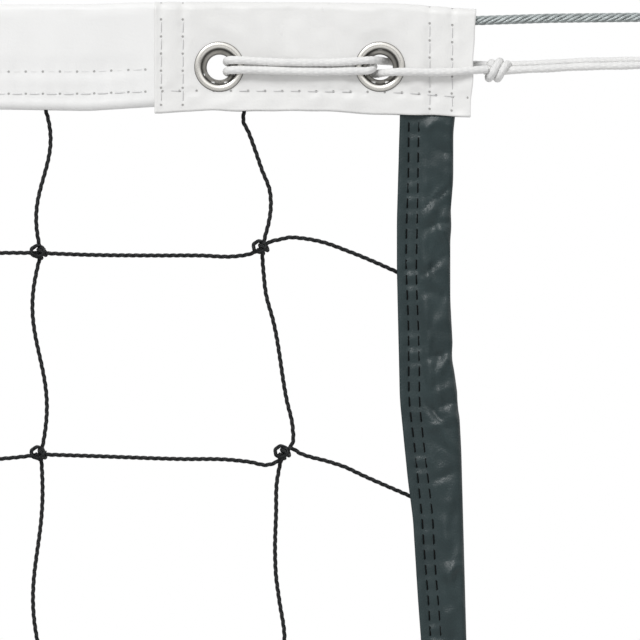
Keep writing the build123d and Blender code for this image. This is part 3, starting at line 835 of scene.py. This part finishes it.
def tape_relief(across, width, along, seed, marks):
    """Drawn in at the seams, puckered between them, flared at the free edge, and creased elsewhere.
    across counts from the fold, and along down the tape."""
    from_edge = width - across
    one, two = (np.exp(-(((from_edge - seam) / (1.5 * MM)) ** 2)) for seam in TAPE_SEAMS)
    between = np.exp(-(((from_edge - sum(TAPE_SEAMS) / 2) / (1.7 * MM)) ** 2))
    wave = np.cos(2 * math.pi * along / TAPE_STITCH + 0.8 * ripple(along, across, seed, 40 * MM))
    wave = wave * np.clip(0.55 + 0.8 * ripple(along, across, seed + 4, 26 * MM), 0.05, 1.6)
    slack = np.clip((from_edge - 10.5 * MM) / (4 * MM), 0, 1) * np.clip(across / (1.5 * MM), 0, 1)
    rough = 0.55 * ripple(across, along, seed + 1, 22 * MM) + 0.3 * ripple(across, along, seed + 2, 8 * MM)
    folds = creased(across, along, marks)
    flare = 0.3 * MM * ripple(along, 0 * along, seed + 3, 12 * MM) * np.clip(1 - from_edge / (3 * MM), 0, 1)
    seams = -0.72 * MM * (one + two) - 0.4 * MM * between * (1 - wave) + 0.2 * MM * wave * (one + two)
    return seams + flare + slack * (0.6 * MM + 0.9 * MM * rough + 1.6 * folds)


def tape_faces(front, across, width, along, seeds, shift, marks):
    """The relief of a tape's two faces. The back's is the same kind, made from another seed."""
    return np.where(front, tape_relief(across, width, along, seeds[0], marks),
                    tape_relief(across, width, along + shift, seeds[1], marks))


# Slate green, half glossy, finely grained, and rubbed paler in places.
slate = Finish("slate_vinyl", specular_ior_level=0.4)
grain = slate.noise(slate.place(), 1300, 4.0, 0.6)
rub = slate.noise(slate.place(), 55, 5.0, 0.6)
cast = slate.noise(slate.place(), 9, 2.0)
slate.feed(
    base_color=slate.colours(rub * 0.7 + cast * 0.3, (0.005, 0.013, 0.0145), (0.024, 0.044, 0.047)),
    roughness=grain * 0.14 + rub * 0.18 + 0.18,
    normal=slate.bump(grain * 0.7 + rub * 2.0, 0.0003, 0.9),
)
thread_black = Finish("thread_black", roughness=0.8, specular_ior_level=0.1)
twist = thread_black.noise(thread_black.place(), 2500, 2.0)
thread_black.feed(base_color=thread_black.colours(twist, (0.0008, 0.001, 0.001), (0.006, 0.007, 0.007)))


def corner_hole(name):
    """The round hole for a bottom eyelet: its middle and its radius."""
    low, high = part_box(f"bottom_eyelet_barrel_{name}")
    return ((low.x + high.x) / 2, (low.z + high.z) / 2), 7.6 * MM


low_end = BAND_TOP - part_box("side_tape_right")[0].z
drop = np.linspace(14 * MM, low_end, 600)[:, None]
outer = BAND_END - edge(drop, TAPE_OUTER)
width = edge(drop, TAPE_INNER) - edge(drop, TAPE_OUTER)
turn, share = fold_over(20, 6)
across = TAPE_HALF * (1 - np.sin(turn)) + (1 - share) * (width - TAPE_HALF)
sewn_in = np.clip((drop - 50 * MM) / (12 * MM), 0, 1)
for name, side in SIDES.items():
    marks = np.concatenate([TAPE_CREASES, slack_marks(50 + side, 110, 60, 930, 16)])
    relief = tape_faces(turn < 2, across, width, drop, (61, 67), 0.2, marks) * sewn_in
    depth = -(TAPE_HALF + relief) * np.cos(turn)
    places = np.stack(np.broadcast_arrays(side * (outer - across), depth, BAND_TOP - drop), -1)
    pattern = np.stack(np.broadcast_arrays(drop, across), -1)
    tape = cloth(f"side_tape_{name}_cloth", places, pattern, TAPE_PLY, slate, "dark_vinyl",
                 (f"side_tape_{name}",), holes=[corner_hole(name)], flip=side < 0)

    def tape_spot(down, seam, back):
        wide = edge(down, TAPE_INNER) - edge(down, TAPE_OUTER)
        relief = tape_faces(back < 0, wide - seam, wide, down, (61, 67), 0.2, marks)
        wander = 0.25 * MM * np.sin(down / (11 * MM) + 40 * seam / MM)
        x = BAND_END - edge(down, TAPE_OUTER) - (wide - seam) + wander
        return side * x, back * (TAPE_HALF + TAPE_PLY / 2 + relief), BAND_TOP - down

    sewn(f"side_tape_{name}_stitches", np.arange(58 * MM, low_end - 30 * MM, TAPE_STITCH), TAPE_SEAMS,
         TAPE_STITCH, TAPE_REACH, tape_spot, BLACK_THREAD, thread_black, "dark_vinyl")

# --- Bottom tape -------------------------------------------------------------------------------------
# The same dark vinyl, folded over the net's lowest twine with the fold below, and sewn in the same way.
low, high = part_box("bottom_tape")
tape_height = high.z - low.z
half_steps = np.concatenate([np.arange(0, 60, 1.5) * MM, np.linspace(60 * MM, high.x, 640)])
x = np.concatenate([half_steps - high.x, high.x - half_steps[-2::-1]])[:, None]
turn, share = fold_over(10, 5)
across = TAPE_HALF * (1 - np.sin(turn)) + (1 - share) * (tape_height - TAPE_HALF)
marks = slack_marks(71, 260, low.x / MM, high.x / MM, 16)


def bottom_relief(front, across, x):
    """The tape's relief, which fades out under the side tapes."""
    inside = np.clip((BAND_END - 50 * MM - np.abs(x)) / (12 * MM), 0, 1)
    return tape_faces(front, across, tape_height, x, (73, 79), 0.3, marks) * inside


def bottom_spot(x, seam, back):
    relief = bottom_relief(back < 0, tape_height - seam, x)
    return x, back * (TAPE_HALF + TAPE_PLY / 2 + relief), low.z + tape_height - seam


sag = 0.8 * MM * ripple(x, 0 * x, 83, 0.4) * np.clip((BAND_END - 50 * MM - np.abs(x)) / (12 * MM), 0, 1)
depth = -(TAPE_HALF + bottom_relief(turn < 2, across, x)) * np.cos(turn)
places = np.stack(np.broadcast_arrays(x, depth, low.z + across + sag * share), -1)
pattern = np.stack(np.broadcast_arrays(x, across), -1)
bottom = cloth("bottom_tape_cloth", places, pattern, TAPE_PLY, slate, "dark_vinyl", ("bottom_tape",),
               holes=[corner_hole(name) for name in SIDES], flip=True)
sewn("bottom_tape_stitches", np.arange(low.x + 40 * MM, high.x - 45 * MM, TAPE_STITCH), TAPE_SEAMS,
     TAPE_STITCH, TAPE_REACH, bottom_spot, BLACK_THREAD, thread_black, "dark_vinyl")

# --- Netting -----------------------------------------------------------------------------------------
# Black three-strand nylon twine, 2.25 mm over its strands, knotted into 4 inch meshes. Each upright
# hangs a little slack between its knots. At each end the net is drawn in, and rungs of twine lead to
# the side tape.
TWINE, TWINE_LAY = 2.25 * MM, 11 * MM
MESH, UPRIGHTS, LEVELS = 101.6 * MM, 95, 8
LEVEL_DROPS = 122.2 * MM + MESH * np.arange(LEVELS)
TWINE_FRONT = 1.05 * MM
TWINE_PLAIN = np.full((1, 1, 6), TWINE / 2 * 0.93)
END_KNOTS = ((105.8, 122.3), (95.0, 224.3), (95.6, 325.8), (99.2, 427.4), (102.6, 528.8), (105.6, 630.2),
             (108.2, 731.8), (110.4, 833.2))  # each knot of the end upright: inset, drop
# The end upright from the headband down past its second knot: inset, drop.
END_UPRIGHT = (
    (114.5, 47), (115.1, 54), (115.3, 59.3), (113.2, 63.5), (109.6, 73), (106.1, 83.2), (102.3, 93.2),
    (101.7, 101.6), (102.8, 109.6), (104.6, 116.5), (105.8, 122.3), (105.8, 128), (105.3, 134.5),
    (104.1, 145), (100.6, 158), (93.8, 197.7), (90.8, 211.7), (91.0, 219.5), (95.0, 224.3), (98.3, 236),
    (99.1, 255), (99.6, 274), (99.1, 285.4), (97.6, 296.8), (94.9, 317.3), (95.6, 325.8),
)
# The two upper levels between the last two uprights, and on to the tape: inset, drop.
END_LEVELS = {
    0: (((191, 125.5), (160, 125.8), (137, 125.8), (119.5, 126.2), (112, 125.0), (105.8, 122.3)),
        ((105.8, 122.3), (103.2, 119.6), (97.1, 117.8), (92.1, 116.8), (87.2, 117.1), (77.2, 118.8),
         (62.3, 124.0), (38.8, 134.0), (33, 136.6))),
    1: (((191, 225.6), (147, 227.1), (122, 227.5), (112, 228.6), (103.1, 230.0), (98.6, 228.4),
         (95.0, 224.3)),
        ((95.0, 224.3), (91.8, 221.8), (87.2, 224.2), (72.2, 228.6), (64.7, 231.1), (57.3, 234.6),
         (31.4, 246.0), (26, 248.4))),
}
RUNG_FALLS = (0, 0, 23, 21, 19, 17, 14, 11)
# Below its third knot the end upright bows to both sides between knots, by this much.
END_BOWS = ((1.5, 2.2), (-1.4, 2.4), (1.8, -1.6), (-1.5, 1.8), (1.4, -1.4), (-1.2, 1.2))


def through(points, step, depth):
    """A smooth line through places (inset, drop) in millimetres: each stretch is a cubic whose slopes
    come from the neighbouring places. depth is how far in front of the net's middle it lies."""
    place = np.array(points, float)
    gone = np.concatenate([[0], np.cumsum(np.linalg.norm(np.diff(place, axis=0), axis=1))])
    slope = np.gradient(place, gone, axis=0)
    wanted = np.linspace(0, gone[-1], int(gone[-1] * MM / step) + 1)
    number = np.clip(np.searchsorted(gone, wanted, "right") - 1, 0, len(gone) - 2)
    span = (gone[number + 1] - gone[number])[:, None]
    t = (wanted - gone[number])[:, None] / span
    line = ((1 + 2 * t) * (1 - t) ** 2 * place[number] + t * (1 - t) ** 2 * span * slope[number]
            + t * t * (3 - 2 * t) * place[number + 1] - t * t * (1 - t) * span * slope[number + 1]) * MM
    return np.stack([BAND_END - line[:, 0], 0 * line[:, 0] - depth, BAND_TOP - line[:, 1]], -1)


def laid(gone, sides=15, strands=3):
    """How far a laid cord's skin stands out: the outline of three touching round strands, turning once
    for each lay."""
    angle = np.arange(sides) * 2 * math.pi / sides - 2 * math.pi * gone[:, None] / TWINE_LAY
    part = (angle + math.pi / strands) % (2 * math.pi / strands) - math.pi / strands
    out = 0.5 * np.cos(part) + np.sqrt(np.maximum(0.25 - (0.5 * np.sin(part)) ** 2, 0))
    return TWINE / 2 * np.maximum(out, 0.66)


def spans(starts, ends, rings, droop, seed):
    """Slack twine between pairs of knots: a straight line, plus a droop, plus an S from side to side."""
    chance = np.random.default_rng(seed)
    share = np.linspace(0, 1, rings)
    bow, bend, depth = chance.normal(0, 1, (3, len(starts), 1))
    line = starts[:, None] + (ends - starts)[:, None] * share[:, None]
    down = np.abs((ends - starts)[:, 2] / np.linalg.norm(ends - starts, axis=1))[:, None]
    aside = (2.0 * bow * np.sin(math.pi * share) + 2.4 * bend * np.sin(2 * math.pi * share)) * MM
    line[..., 0] += aside * down
    line[..., 2] += (aside * 0.5 - droop * np.sin(math.pi * share)) * (1 - down)
    line[..., 1] += 0.5 * MM * depth * np.sin(math.pi * share)
    return line


def wraps(middles, turns, coil, half, rings, lean):
    """The coil that each knot makes round the crossing twines. It lies along an axis that leans up to
    the right by lean, and closes in at both ends."""
    share = np.linspace(0, 1, rings)
    angle = 2 * math.pi * turns * share + 0.6
    out = coil * np.clip(np.minimum(share, 1 - share) * 8, 0.35, 1) ** 0.5
    axis = np.stack([np.cos(lean), 0 * lean, np.sin(lean)], -1)[:, None]
    side = np.stack([-np.sin(lean), 0 * lean, np.cos(lean)], -1)[:, None]
    step = ((2 * share - 1) * half)[:, None]
    swing = (out * np.cos(angle))[:, None]
    front = (-out * np.sin(angle))[:, None]
    return middles[:, None] + axis * step + side * swing + front * np.array(BACK)


twine_black = Finish("twine_black", specular_ior_level=0.22)
turn, gone, _ = twine_black.parts(twine_black.place("UV"))
strand = (turn * 3 - gone * 3).wave()
fibre = (turn * 24 + gone * 30).wave()
shade = twine_black.noise(twine_black.place(), 300, 3.0)
twine_black.feed(
    base_color=twine_black.colours(shade * 0.6 + fibre * 0.3, (0.001, 0.0014, 0.0018), (0.007, 0.009, 0.01)),
    roughness=shade * 0.25 + 0.22,
    normal=twine_black.bump(fibre * 0.35 + strand, 0.00025, 0.6),
)


def twines(name, nodes, *skins):
    wound(name, skins, twine_black, "net", "netting_twine", nodes)


def twine(line, step, sides=15):
    """A laid twine along a line."""
    line, gone = evenly(line, step)
    return skin(line, laid(gone, sides), BACK, TWINE_LAY)


# The knots' places, by upright and level: even inside, and as the drawn-in ends put them outside.
chance = np.random.default_rng(12)
column = ((np.arange(UPRIGHTS) + 1) * MESH - 48 * MESH)[:, None]
knot_x = np.tile(column, (1, LEVELS)) + chance.normal(0, 1.1 * MM, (UPRIGHTS, LEVELS))
knot_z = BAND_TOP - LEVEL_DROPS - 1.0 * MM + chance.normal(0, 1.0 * MM, (UPRIGHTS, LEVELS))
end_inset, end_drop = np.array(END_KNOTS).T * MM
knot_x[-1], knot_z[-1] = BAND_END - end_inset, BAND_TOP - end_drop
knot_x[0], knot_z[0] = -knot_x[-1], knot_z[-1]
knot_x[-2, :2], knot_z[-2, :2] = BAND_END - 216.2 * MM, BAND_TOP - np.array((124.6, 224.8)) * MM
knot_x[1, :2], knot_z[1, :2] = -knot_x[-2, :2], knot_z[-2, :2]
head = np.full((UPRIGHTS, 1), BAND_TOP - 46 * MM)
foot = np.full((UPRIGHTS, 1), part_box("bottom_margin_twine")[0].z + 3 * MM)
column_x = np.concatenate([column, knot_x, column], 1)
column_z = np.concatenate([head, knot_z, foot], 1)

# Uprights: one twine each, from the headband through eight knots to the bottom tape.
places = np.stack([column_x, 0 * column_x + TWINE_FRONT, column_z], -1)
inner = spans(places[2:-2, :-1].reshape(-1, 3), places[2:-2, 1:].reshape(-1, 3), 11, 0, 31)
inner = inner.reshape(UPRIGHTS - 4, LEVELS + 1, 11, 3)
inner = np.concatenate([inner[:, :, :-1].reshape(UPRIGHTS - 4, -1, 3), inner[:, -1:, -1]], 1)
twines("upright_twine_lines", ("upright_twines",), skin(inner, TWINE_PLAIN, BACK, TWINE_LAY))
low_way = list(END_KNOTS[2:3])
for (near_bow, far_bow), below in zip(END_BOWS, END_KNOTS[3:] + ((113, 934),)):
    above = np.array(low_way[-1])
    for share, aside in ((0.28, near_bow * 1.6), (0.72, far_bow)):
        low_way.append(tuple(above + (np.array(below) - above) * share + (aside, 0)))
    low_way.append(below)
for name, side in SIDES.items():
    line = through(END_UPRIGHT[:-1] + tuple(low_way), 0.7 * MM, -TWINE_FRONT) * (side, 1, 1)
    beside = places[-2 if side > 0 else 1]
    second = spans(beside[:-1], beside[1:], 140, 0, 37)
    second = np.concatenate([second[:, :-1].reshape(-1, 3), second[-1:, -1]], 0)
    twines(f"end_upright_lines_{name}", (f"end_upright_twine_{name}", "upright_twines"),
           twine(line, 0.85 * MM), twine(second, 1.0 * MM, 12))

# Levels: eight twines from side to side, and the rungs by which they reach the side tapes.
places = np.stack([knot_x, 0 * knot_x - TWINE_FRONT, knot_z], -1)
inner = spans(places[2:-3].reshape(-1, 3), places[3:-2].reshape(-1, 3), 11, 2.0 * MM, 41)
twines("level_twine_lines", ("level_twines",), skin(inner, TWINE_PLAIN, BACK, TWINE_LAY))
for name, side in SIDES.items():
    levels, rungs = [], []
    second, third = (places[-2], places[-3]) if side > 0 else (places[1], places[2])
    for row, knot in enumerate(END_KNOTS):
        inset, drop = knot
        beside = (BAND_END - abs(second[row, 0])) / MM, (BAND_TOP - second[row, 2]) / MM
        if row in END_LEVELS:
            inward, outward = END_LEVELS[row]
        else:
            fall = RUNG_FALLS[row]
            tape = float(edge(np.array((drop + fall) * MM), TAPE_INNER)) / MM
            inward = ((beside[0] - 24, beside[1] + 2), ((beside[0] + inset) / 2, beside[1] + 3),
                      (inset + 12, drop + 2.5), knot)
            outward = (knot, (inset - 14, drop - 1.5), ((inset + tape) / 2, drop + fall * 0.4),
                       (tape, drop + fall), (tape - 5.5, drop + fall + 2))
        line = through((beside,) + inward, 0.7 * MM, TWINE_FRONT)
        levels.append(twine(line * (side, 1, 1), 0.85 * MM))
        line = through(outward, 0.7 * MM, TWINE_FRONT)
        sunk = np.clip((line[:, 0] - line[-1, 0] + 14 * MM) / (9 * MM), 0, 1)
        line[:, 1] *= 1 - sunk
        rungs.append(twine(line * (side, 1, 1), 0.85 * MM))
    next_span = spans(third, second, 120, 2.0 * MM, 43)
    levels.append(skin(next_span, laid(np.linspace(0, MESH, 120), 12)[None], BACK, TWINE_LAY))
    twines(f"end_level_lines_{name}", ("level_twines",), *levels)
    twines(f"end_rung_lines_{name}", (f"end_rung_twines_{name}",), *rungs)

# Knots: the level's twine coils round the upright and itself, and is drawn up tight.
middles = np.stack([knot_x, 0 * knot_x, knot_z], -1)
inner = middles[2:-2].reshape(-1, 3)
coil = wraps(inner, 1.7, 2.2 * MM, 2.0 * MM, 13, chance.normal(0.6, 0.15, len(inner)))
twines("netting_knot_wraps", ("netting_knots",),
       skin(coil, np.full((1, 1, 5), TWINE * 0.47), BACK, TWINE_LAY))
for name, side in SIDES.items():
    knots = middles[[-1, -2] if side > 0 else [0, 1]].reshape(-1, 3)
    lean = chance.normal(0.62, 0.12, len(knots)) * side
    coil = wraps(knots, 1.75, 2.2 * MM, 2.4 * MM, 60, lean)
    about = 2 * math.pi * (np.linspace(0, 1.1, 64) + 0.35)
    circle = np.stack([np.cos(about), -0.55 * np.sin(about * 0.5) - 0.5, 0.9 * np.sin(about)], -1)
    hook = circle * 3.0 * MM + (-1.5 * MM, -0.9 * MM, 0.9 * MM)
    hook = knots[:, None] + hook * (side, 1, 1)
    reach = laid(np.linspace(0, 24 * MM, 64), 12)[None] * 0.95
    twines(f"end_knot_wraps_{name}", ("netting_knots",),
           skin(coil, reach[:, :60], (0.02, 1.0, 0.03), TWINE_LAY),
           skin(hook, reach, (0.02, 1.0, 0.03), TWINE_LAY))
coat(twine_black, "top_margin_twine", "bottom_margin_twine", "side_margin_twine_left",
     "side_margin_twine_right")

# --- Studio ------------------------------------------------------------------------------------------
# A plain pale floor under the net, a soft sun from the upper left, and a white world.
bpy.context.scene.view_settings.view_transform = "Standard"
world = bpy.data.worlds.new("studio")
bpy.context.scene.world = world
world.use_nodes = True
tree = world.node_tree
backdrop, output = tree.nodes["Background"], tree.nodes["World Output"]
backdrop.inputs["Color"].default_value = (1, 1, 1, 1)
fill, ray, way, rise, dim, gloss, seen, either, mix = (
    tree.nodes.new("ShaderNode" + kind)
    for kind in ("Background", "LightPath", "TexCoord", "SeparateXYZ", "MapRange", "Mix", "Math", "Math",
                 "MixShader")
)
fill.inputs["Color"].default_value = (0.5, 0.5, 0.5, 1)
seen.operation = either.operation = "MAXIMUM"
gloss.inputs["A"].default_value = 1.0
for label, value in (("From Min", -0.25), ("From Max", 0.3), ("To Min", 0.02), ("To Max", 1.2)):
    dim.inputs[label].default_value = value
for source, socket, target, into in (
    # Gloss sees the studio's ceiling as bright and its lower half as dim, as a lamp above makes it.
    (way, "Generated", rise, 0),
    (rise, "Z", dim, "Value"),
    (dim, "Result", gloss, "B"),
    (ray, "Is Glossy Ray", gloss, "Factor"),
    (gloss, 0, backdrop, "Strength"),
    # The camera, gloss and glass see that studio. All else is lit by the dimmer fill.
    (ray, "Is Camera Ray", seen, 0),
    (ray, "Is Glossy Ray", seen, 1),
    (seen, 0, either, 0),
    (ray, "Is Transmission Ray", either, 1),
    (either, 0, mix, "Fac"),
    (fill, 0, mix, 1),
    (backdrop, 0, mix, 2),
    (mix, 0, output, "Surface"),
):
    tree.links.new(source.outputs[socket], target.inputs[into])

sun = bpy.data.objects.new("sun", bpy.data.lights.new("sun", "SUN"))
sun.data.energy, sun.data.angle = 1.9, math.radians(25)
sun.rotation_euler = (math.radians(48), 0, math.radians(-24))
bpy.context.scene.collection.objects.link(sun)

FLOOR_DROP = 30 * MM
floor_pale = Finish("floor_pale", roughness=0.9, specular_ior_level=0.1)
dapple = floor_pale.noise(floor_pale.place(), 3, 2.0)
floor_pale.feed(base_color=floor_pale.colours(dapple, (0.80, 0.80, 0.80), (0.84, 0.84, 0.84)))
mesh = bpy.data.meshes.new("floor")
reach, level = 7.5, cad_bounds[0].z - FLOOR_DROP
corners = [(-reach, -reach, level), (reach, -reach, level), (reach, reach, level), (-reach, reach, level)]
mesh.from_pydata(corners, [], [(0, 1, 2, 3)])
mesh.materials.append(floor_pale.material)
floor = bpy.data.objects.new("floor", mesh)
bpy.context.scene.collection.objects.link(floor)
